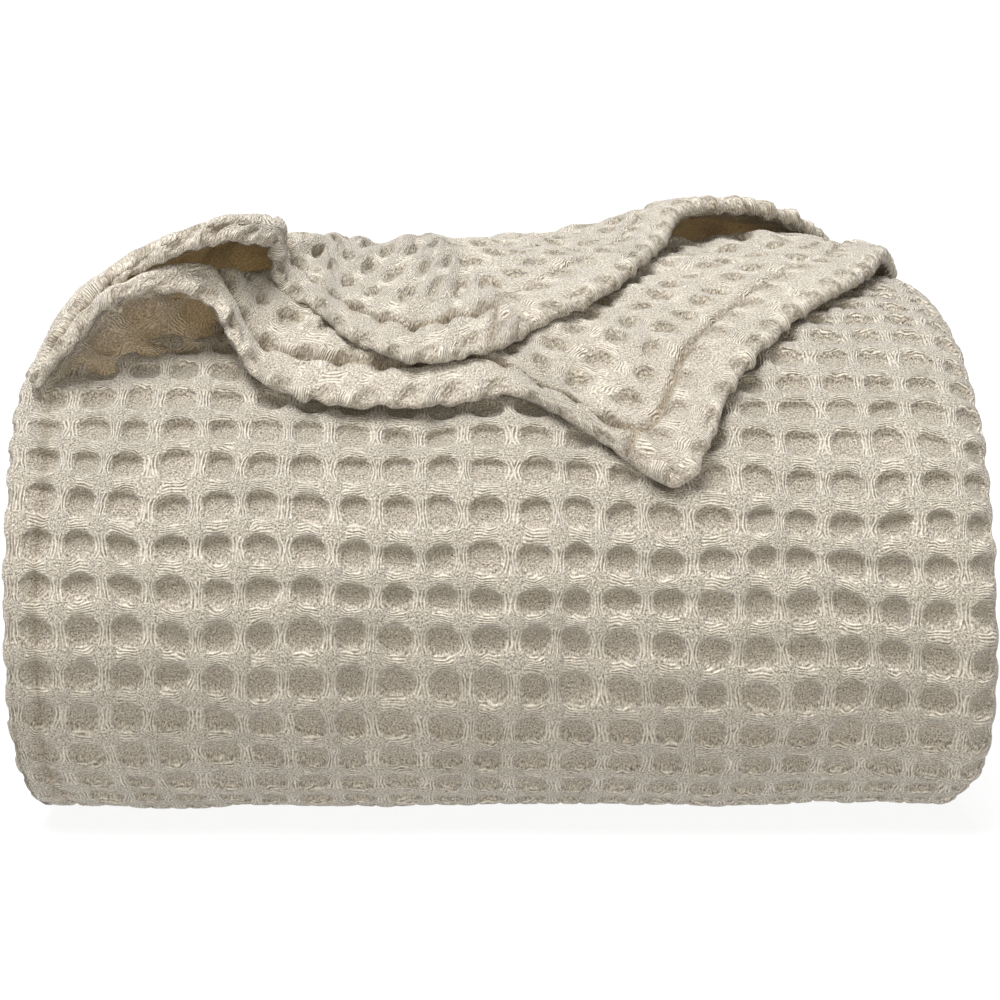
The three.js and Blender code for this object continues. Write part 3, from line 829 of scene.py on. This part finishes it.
def at_share(line, share):
    """Places along a line of points, at some shares of its length from its far end."""
    length = np.concatenate([[0], np.cumsum(np.linalg.norm(np.diff(line, axis=0), axis=1))])
    at = length[-1] - share * length[-1]
    return np.stack([np.interp(at, length, line[:, k]) for k in range(3)], axis=-1)


def even_rows(corner, first, last, count):
    """Places along the fold line whose sections are about evenly far apart."""
    trial = np.linspace(first, last, 80)
    hem = np.array([[value_along(corner, key, at) for key in ("x", "run")] for at in trial])
    root = np.outer(trial, np.subtract(corner["end"], corner["start"]))
    step = (np.hypot(*np.diff(hem, axis=0).T) + np.hypot(*np.diff(root, axis=0).T)) / 2
    run = np.concatenate([[0], np.cumsum(step)])
    return np.interp(np.linspace(0, run[-1], count + 1), run, trial)


def corner_sheet(corner, edge_lengths):
    """The middle of one turned-back layer, and the place on the cloth of each of its points."""
    places = np.concatenate([even_rows(corner, 0, corner["tip"], TIP_ROW),
                             even_rows(corner, corner["tip"], 1, CORNER_ROWS - TIP_ROW)[1:]])
    params = np.linspace(0, 5, SECTION_SAMPLES)
    lines = [on_pile(smooth_curve(section_points(corner, at), params)) for at in places]
    lengths = np.array([np.linalg.norm(np.diff(line, axis=0), axis=1).sum() for line in lines])
    usual = np.percentile(lengths, 80)
    fine_share = min(HEM_FINE / usual, 0.5)
    fine_cols = int(HEM_FINE / HEM_STEP)
    coarse_cols = int((usual - HEM_FINE) / CORNER_STEP)
    spread = np.concatenate([np.linspace(0, 1 - fine_share, coarse_cols + 1),
                             np.linspace(1 - fine_share, 1, fine_cols + 1)[1:]])
    middle, from_hem = [], []
    for line, length in zip(lines, lengths):
        edge = min(HEM_ROUND, 0.3 * length) / length
        share = 1 - (1 - edge) * spread
        middle.append(at_share(line, share))
        from_hem.append(share * length)
    middle, from_hem = np.array(middle), np.array(from_hem)
    hem = np.array([line[-1] for line in lines])
    hem_at = np.concatenate([[0], np.cumsum(np.linalg.norm(np.diff(hem, axis=0), axis=-1))])
    left_share = 1 - hem_at[: TIP_ROW + 1] / hem_at[TIP_ROW]
    right_share = (hem_at[TIP_ROW:] - hem_at[TIP_ROW]) / (hem_at[-1] - hem_at[TIP_ROW])
    left_length, right_length = edge_lengths
    hem_cloth = np.stack([
        np.concatenate([0 * left_share, right_share[1:] * right_length]),
        np.concatenate([left_share * left_length, 0 * right_share[1:]]),
    ], axis=-1)
    start, end = np.array(corner["start"], float), np.array(corner["end"], float)
    root = start + np.outer(places, end - start)
    root_cloth = np.stack([root[:, 0] + HALF, RUN_BACK - root[:, 1]], axis=-1)
    to_root = unit(root_cloth - hem_cloth)
    return middle, from_hem, hem_cloth, to_root


# %% A corner with relief on both sides
END_HEM = 23.0           # width of the hem at the cloth's end
END_SEAM = 7.0           # how far in from the tip that hem is closed
TUCK_COLS = 7            # columns that the edge goes back under
# A roll's sheltered underside gets painted shade and a painted glow.
SHELTER_REACH = 55.0     # how far in from its hem the underside of a roll is sheltered
SIDE_RISE, END_RISE = 1.4, 3.0       # how far the two hems stand up
GROOVE = 4.2             # how deep the stitches pull
WANDER = 0.06            # how far the dimples wander, in cells
LUMPS = 0.8              # the rolled edge's lumps
CORNER_CREASING = (1.2, 1.3)         # a loose corner creases more than the pile
CREASE_START = 40.0      # how far in from the hem those creases are at their full height


def crease_of(t, s):
    """The rows of stitches along both hems and the seam across their meeting, 0 to 1."""
    in_end = band(s, END_HEM)
    seam = 0.4 * stitch_groove(t, END_SEAM) * in_end
    return np.maximum(np.maximum(stitch_groove(t, HEM) * (1 - in_end), seam), stitch_groove(s, END_HEM))


def side_height(cloth, upper):
    """The relief, hem rise and cells of one side of a corner, at places on the cloth."""
    t, s = cloth[..., 0], cloth[..., 1]
    slide_u, slide_v = slide(t + 500, s)
    shift = 0.5 if upper else 0.0
    cells = np.stack([(t + slide_u) / PITCH + shift, (s + slide_v) / PITCH + shift], axis=-1)
    side_band, end_band = band(t, HEM), band(s, END_HEM)
    if upper:
        wander_a = cells[..., 0] + WANDER * ROPE(t + 200, s)
        wander_b = cells[..., 1] + WANDER * ROPE(s + 400, t)
        dimple = 0.56 + 0.26 * per_cell(3, np.floor(wander_a), np.floor(wander_b))
        height = 1.05 * waffle(wander_a, wander_b, dimple, 0.45)[0]
    else:
        height = 0.9 * waffle(cells[..., 0], cells[..., 1])[0]
    height *= mix(1, 0.45, np.maximum(0.6 * side_band, end_band))
    if upper:
        height += SIDE_RISE * side_band * (1 - end_band) + END_RISE * end_band - GROOVE * crease_of(t, s)
    height += LUMPS * ROPE(t, s) * smooth(1.6 - np.minimum(t, s) / 6)
    return height, cells


def lay_corner(name, corner, edge_lengths):
    """Lays a turned-back layer as a closed sheet with a round hem."""
    middle, from_hem, hem_cloth, to_root = corner_sheet(corner, edge_lengths)
    normal = normals_of(middle)
    if normal[TIP_ROW, -3, 2] < 0:
        normal = -normal
    cloth = hem_cloth[:, None] + to_root[:, None] * from_hem[..., None]
    crumple = CORNER_CREASING[0] * (CRUMPLE(cloth[..., 0] + 300, cloth[..., 1]) + 0.6)
    crumple += CORNER_CREASING[1] * PUCKER(cloth[..., 0] + 300, cloth[..., 1])
    middle = middle + normal * (crumple * smooth(from_hem / CREASE_START))[..., None]
    outward_way = unit(middle[:, -1] - middle[:, -2])
    edge_normal = normal[:, -1]

    angle = np.linspace(0, np.pi, 10)[1:-1]
    arc_way = (edge_normal[:, None] * np.cos(angle)[:, None]
               + outward_way[:, None] * np.sin(angle)[:, None])
    arc_distance = from_hem[:, -1:] - HEM_ROUND * angle
    arc_cloth = hem_cloth[:, None] + to_root[:, None] * arc_distance[..., None]
    arc_upper, arc_cells = side_height(arc_cloth, True)
    arc_lower = side_height(arc_cloth, False)[0]
    arc_height = mix(arc_upper, arc_lower, (1 - np.cos(angle)) / 2)
    upper, upper_cells = side_height(cloth, True)
    lower, lower_cells = side_height(cloth, False)
    full = smooth(from_hem[:, :1] / FULL_SECTION)
    upper, lower, arc_height = upper * full, lower * full, arc_height * full
    lower = np.maximum(lower, 0.7 - CLOTH - upper)
    top = middle + normal * (HEM_ROUND + upper)[..., None]
    arc = middle[:, -1:] + arc_way * (HEM_ROUND + np.maximum(arc_height, -1.2))[..., None]
    bottom = middle - normal * (HEM_ROUND + lower)[..., None]
    tucked = bottom[:, : -TUCK_COLS - 1 : -1]
    outer = np.concatenate([top, arc, tucked], axis=1)
    outer_cells = np.concatenate([upper_cells, arc_cells, lower_cells[:, : -TUCK_COLS - 1 : -1]], axis=1)
    kept = middle.shape[1] - TUCK_COLS + 1
    pick = np.ix_(coarse_pick(len(middle), 2), coarse_pick(kept, 2))
    patches = np.cross(np.gradient(middle, axis=0), np.gradient(middle, axis=1))
    side = float(np.linalg.norm(patches, axis=-1).sum()) ** 0.5 * MM
    # The stitch grooves are marked for painted shade.
    crease_shade, reverse_and_painted_light = 0 * outer[..., 0], 0 * outer[..., 0]
    crease_shade[:, : middle.shape[1]] = crease_of(cloth[..., 0], cloth[..., 1])
    # The top side is marked to be painted lighter.
    reverse_and_painted_light[:, : middle.shape[1] + len(angle) // 2] = 1
    # The underside is marked for painted shade and a painted glow under the roll.
    return lay_cloth(name, outer, outer_cells, bottom[pick], lower_cells[pick], (side, side),
                     marks={"crease_shade": (crease_shade, 0), "reverse_and_painted_light": (reverse_and_painted_light, 0),
                            "roll_shade_and_glow": (0 * reverse_and_painted_light, smooth(from_hem[pick].ravel() / SHELTER_REACH))})


lay_corner("outer_corner", OUTER_CORNER, (327.0, 380.0))
lay_corner("inner_corner", INNER_CORNER, (319.0, 348.0))

# %% [markdown]
# ## The cotton
# The material draws what is too fine for the mesh, on the cloth's own UV map, which counts
# cells of the weave: the strands of each float, the plain weave of the puffs and pits, and
# soft changes of colour. It also paints light and shade into the colour: highlights on the
# strands, shade in the pits, gaps, rims and grooves, a lighter top side on the turned-back
# corners and a brown glow under the rolls. It could be painted as a picture, but sums of
# waves and noise stay sharp at any size. A small class lets those sums be written as plain
# expressions.

# %% Shader sums as expressions
def set_sockets(node, **values):
    """Sets a node's constants, with _ for each space in a socket's name."""
    for key, value in values.items():
        node.inputs[key.replace("_", " ")].default_value = value


class Sum:
    """A socket of a node tree, with the operators that the patterns need."""

    def __init__(self, tree, socket):
        self.tree, self.socket = tree, socket

    def node(self, kind, settings=None, output=0, **inputs):
        made = self.tree.nodes.new(kind)
        for key, value in (settings or {}).items():
            setattr(made, key, value)
        for key, value in inputs.items():
            place = made.inputs[int(key[1:])] if key[0] == "_" else made.inputs[key.replace("_", " ")]
            if isinstance(value, Sum):
                self.tree.links.new(value.socket, place)
            else:
                place.default_value = value
        return Sum(self.tree, made.outputs[output])

    def math(self, operation, other=0.0, third=0.0):
        return self.node("ShaderNodeMath", {"operation": operation}, _0=self, _1=other, _2=third)

    def __add__(self, other):
        return self.math("ADD", other)

    __radd__ = __add__

    def __sub__(self, other):
        return self.math("SUBTRACT", other)

    def __rsub__(self, other):
        return self.math("MULTIPLY", -1.0).math("ADD", other)

    def __mul__(self, other):
        return self.math("MULTIPLY", other)

    __rmul__ = __mul__

    def steps(self, low, high):
        """A soft step: 0 at low and 1 at high."""
        return self.node("ShaderNodeMapRange", {"interpolation_type": "SMOOTHSTEP"},
                         _0=self, _1=low, _2=high, _3=0.0, _4=1.0)

    def noise(self, scale, detail=2.0, seed=0.0):
        """Noise over the cloth, -0.5 to 0.5 or so. This is a vector, moved on by the seed."""
        place = self.node("ShaderNodeVectorMath", {"operation": "ADD"}, _0=self, _1=(seed, -seed, 0))
        return place.node("ShaderNodeTexNoise", {"noise_dimensions": "2D"}, Vector=place,
                          Scale=scale, Detail=detail) - 0.5

    def mark(self, name):
        """One of the numbers that the sheets carry on their points."""
        return self.node("ShaderNodeAttribute", {"attribute_name": name}, output=2)

    def colour(self, low, high):
        """A colour between two, by this value."""
        return self.node("ShaderNodeMix", {"data_type": "RGBA"}, output=2, _0=self, _6=low, _7=high)


# %% The cotton's numbers and the place in a cell
STRANDS = 15.0           # strands to a cell, where they float
THREADS = 27.0           # threads to a cell in the plain weave
TURN = 2 * np.pi
# A painted highlight for the float strands.
STRAND_HIGHLIGHT = (0.64, 0.585, 0.50, 1)
PLAIN_COTTON = (0.475, 0.43, 0.362, 1)
# Painted shade for the pits.
PIT_SHADE = (0.44, 0.392, 0.322, 1)
# Painted shade for the gaps between strands, the pits' rims and the dimples' crescents.
GAP_SHADE = (0.18, 0.15, 0.105, 1)
# Painted shade for the stitch grooves and under the rolls.
CREASE_SHADE = (0.24, 0.185, 0.115, 1)
# A painted brown glow for the sheltered undersides of the rolls.
PAINTED_GLOW = (0.085, 0.055, 0.022, 1)
ROUGHNESS, SHEEN, SHEEN_ROUGHNESS = 0.95, 0.2, 0.6

cotton = bpy.data.materials.new(SLOT)
cotton.use_nodes = True
tree = cotton.node_tree
shader = tree.nodes["Principled BSDF"]
cloth = tree.nodes.new("ShaderNodeUVMap")
cloth.uv_map = "cloth"
uv = Sum(tree, cloth.outputs[0])
split = tree.nodes.new("ShaderNodeSeparateXYZ")
tree.links.new(cloth.outputs[0], split.inputs[0])
a, b = Sum(tree, split.outputs[0]), Sum(tree, split.outputs[1])
across = (a - a.math("ROUND")).math("ABSOLUTE")
signed = b - b.math("ROUND")
along = signed.math("ABSOLUTE")
in_a, in_b = 0.5 - across, 0.5 - along

# %% Where the floats, the pits and their rims are
ragged = uv.noise(7.0, 0.0, 3.0) * 0.07
lying = (in_a + ragged).steps(0.27, 0.20) * (along + ragged).steps(0.205, 0.15)
standing = (in_b + ragged).steps(0.31, 0.24) * (across + ragged).steps(0.17, 0.12)
wide, tall = in_a * (1 / PIT_WIDE), in_b * (1 / PIT_TALL)
ring = wide.math("MAXIMUM", tall).math("MAXIMUM", (wide + tall) * (1 / CORNER_CUT)) + ragged * 0.5
pit = ring.steps(0.95, 0.8)
rim = ring.steps(0.82, 0.9) * ring.steps(1.0, 0.92)

# %% The strands of the floats
# A wave across each float draws its strands, and noise bends them and opens gaps here and there.
# On the cloth's other side the floats show in patches only.
bend = uv.noise(2.3, 1.0, 1.0) * 0.19
spread = 1 - in_a * in_a * 3.0
lying_wave = ((signed * spread + bend) * (1.2 * STRANDS * TURN)).math("SINE")
standing_wave = ((in_a + in_b * in_b * 0.5 + bend * 0.6) * (0.9 * STRANDS * TURN)).math("SINE")
loose = uv.noise(7.0, 1.0, 7.0).steps(-0.1, 0.15)
wave = lying * lying_wave + standing * standing_wave
reverse_and_painted_light = uv.mark("reverse_and_painted_light")
crease_shade = uv.mark("crease_shade")
shown = 1 - reverse_and_painted_light * uv.noise(0.9, 1.0, 13.0).steps(-0.04, 0.1)
wave = wave * shown
floats = (lying + standing).math("MINIMUM", 1.0) * shown
strand = wave.steps(-0.85, 0.1)
gap_shade = floats * (1 - strand) * (0.35 + loose * 0.65)

# %% The fine relief
weave = (a * (THREADS * TURN)).math("SINE") * (b * (THREADS * TURN)).math("SINE")
fuzz = uv.noise(17.0, 2.0, 5.0)
rings = (ring * (5.5 * TURN)).math("SINE") * ring.steps(1.0, 0.8) * ring.steps(0.2, 0.4)
plain = 1 - floats
height = wave * 0.36 + plain * (weave * 0.12 + rings * 0.12 - rim * 0.3) + fuzz * (plain + 0.6) * 1.2
bump = height.node("ShaderNodeBump", Height=height, Strength=1.0, Distance=MM)
tree.links.new(bump.socket, shader.inputs["Normal"])

# %% The colour, with painted highlights and painted shade
# Painted highlights make the strands pale, and painted shade darkens the pits, the gaps
# between strands, the pits' rims and the stitch grooves. Painted shadows lie as crescents in
# the dimples of the cloth's other side.
# The pits get a painted shade.
ground_with_pit_shade = pit.colour(PLAIN_COTTON, PIT_SHADE)
# The float strands get a painted highlight.
pale = (floats * (0.45 + strand * 0.55)).colour(ground_with_pit_shade, STRAND_HIGHLIGHT)
centred_a, centred_b = a - a.math("FLOOR") - 0.5, b - b.math("FLOOR") - 0.5


def from_middle(shift):
    """The distance from a point that is shifted along both ways from the pit's middle."""
    off_a, off_b = centred_a - shift + bend, centred_b - shift - bend
    return (off_a * off_a + off_b * off_b).math("SQRT")


# Painted shadows, as crescents in the dimples of the cloth's other side.
dimple_shadow = from_middle(0.06).steps(0.27, 0.22) * from_middle(-0.07).steps(0.18, 0.26)
dimple_shadow = dimple_shadow * reverse_and_painted_light * (0.5 + loose * 0.5)
# Painted shade in the gaps between strands, on the pits' rims and in the dimples' crescents.
lines = gap_shade * 0.95 + rim * plain * (1 - reverse_and_painted_light) * 0.45 + dimple_shadow * 0.6
gap_shaded = lines.math("MINIMUM", 1.0).colour(pale, GAP_SHADE)
roll_shade_and_glow = uv.mark("roll_shade_and_glow")
# Painted shade in the stitch grooves and under the rolls.
dark = (crease_shade * 0.8 + roll_shade_and_glow * 0.3).colour(gap_shaded, CREASE_SHADE)

# %% A painted glow under the rolls, a painted lighter top side, and speckled tone
# Under a roll the cloth has a painted brown glow, an emission that stands in for light coming through it.
through = (roll_shade_and_glow * (0.8 + uv.noise(0.9, 3.0, 4.0) * 2.0)).colour((0, 0, 0, 1), PAINTED_GLOW)
tree.links.new(through.socket, shader.inputs["Emission Color"])
set_sockets(shader, Emission_Strength=1.0)
grain = uv.noise(26.0, 1.0, 9.0)
# The cloth's other side, on top of the turned-back corners, is painted lighter, standing in for the light
# that falls on it from above.
speckle_and_painted_light = 1 + reverse_and_painted_light * 0.17 + fuzz * 1.1 + grain * (plain + 0.4) * 1.5 + plain * rings * 0.05
speckle_and_painted_light = speckle_and_painted_light + uv.noise(0.35, 2.0, 11.0) * 0.1
shade = speckle_and_painted_light.node("ShaderNodeCombineXYZ", _0=speckle_and_painted_light, _1=speckle_and_painted_light, _2=speckle_and_painted_light)
tint = shade.node("ShaderNodeVectorMath", {"operation": "MULTIPLY"}, _0=dark, _1=shade)
tree.links.new(tint.socket, shader.inputs["Base Color"])
set_sockets(shader, Roughness=ROUGHNESS, Sheen_Weight=SHEEN, Sheen_Roughness=SHEEN_ROUGHNESS)
for piece in SHEETS:
    piece.data.materials.append(cotton)
print(f"The cotton has {len(tree.nodes)} nodes and is on {len(SHEETS)} sheets")

# %% [markdown]
# ## The floor and the light
# The floor is a plain pale sheet that reaches to the horizon. It glows a little, so that it
# stays white and the pile throws only a faint shadow on it. One wide sun stands above, a weaker
# and warmer one fills in from the front, and the sky is pale, like big soft boxes round a white
# table: tops are bright, and the hollows under the ridges keep a soft shade.

# %% The floor
FLOOR_SIZE, FLOOR_GREY, FLOOR_GLOW = 80.0, 0.12, 0.9
bpy.ops.object.select_all(action="DESELECT")
bpy.ops.mesh.primitive_plane_add(size=FLOOR_SIZE, location=(0, 0, 0))
floor = bpy.context.active_object
floor.name = "floor"
paper = bpy.data.materials.new("paper")
paper.use_nodes = True
set_sockets(paper.node_tree.nodes["Principled BSDF"], Roughness=0.9, Specular_IOR_Level=0.0,
            Base_Color=(FLOOR_GREY, FLOOR_GREY, FLOOR_GREY, 1),
            Emission_Color=(1, 1, 1, 1), Emission_Strength=FLOOR_GLOW)
floor.data.materials.append(paper)


# %% The light
def soft_sun(name, energy, width, turn, colour):
    """A sun that is some degrees wide, so that its shadows are soft."""
    bpy.ops.object.light_add(type="SUN", location=(0, 0, 2), rotation=np.radians(turn))
    sun = bpy.context.active_object
    sun.name = name
    sun.data.energy = energy
    sun.data.angle = np.radians(width)
    sun.data.color = colour


soft_sun("soft_sun", 4.5, 36, (14, -12, 0), (1, 1, 1))
soft_sun("front_fill", 1.2, 40, (86, 4, 0), (1, 0.87, 0.66))
SKY = 0.38
world = bpy.data.worlds.new("studio")
bpy.context.scene.world = world
world.use_nodes = True
set_sockets(world.node_tree.nodes["Background"], Color=(1, 1, 1, 1), Strength=SKY)
bpy.context.scene.view_settings.view_transform = "Standard"
print("A floor, two soft suns and a pale sky")

# %% [markdown]
# ## The camera
# The camera looks at the front of the pile from a little above and from some way off, through
# a long lens, so that the pile isn't drawn out of shape.

# %% The camera
CAMERA_TARGET = (0.0, -0.177, 0.141)
CAMERA_DISTANCE = 1.4
CAMERA_RISE = np.radians(10)
FOCAL_PX, PICTURE_PX, SENSOR = 3523.0, 1000.0, 36.0

camera = bpy.data.objects.new("camera", bpy.data.cameras.new("camera"))
bpy.context.collection.objects.link(camera)
camera.data.sensor_width = SENSOR
camera.data.lens = FOCAL_PX / PICTURE_PX * SENSOR
camera.location = (
    CAMERA_TARGET[0],
    CAMERA_TARGET[1] - CAMERA_DISTANCE * np.cos(CAMERA_RISE),
    CAMERA_TARGET[2] + CAMERA_DISTANCE * np.sin(CAMERA_RISE),
)
camera.rotation_euler = (np.pi / 2 - CAMERA_RISE, 0, 0)
bpy.context.scene.camera = camera
print(f"The camera has a lens of {camera.data.lens:.0f} mm and stands {CAMERA_DISTANCE} m away")
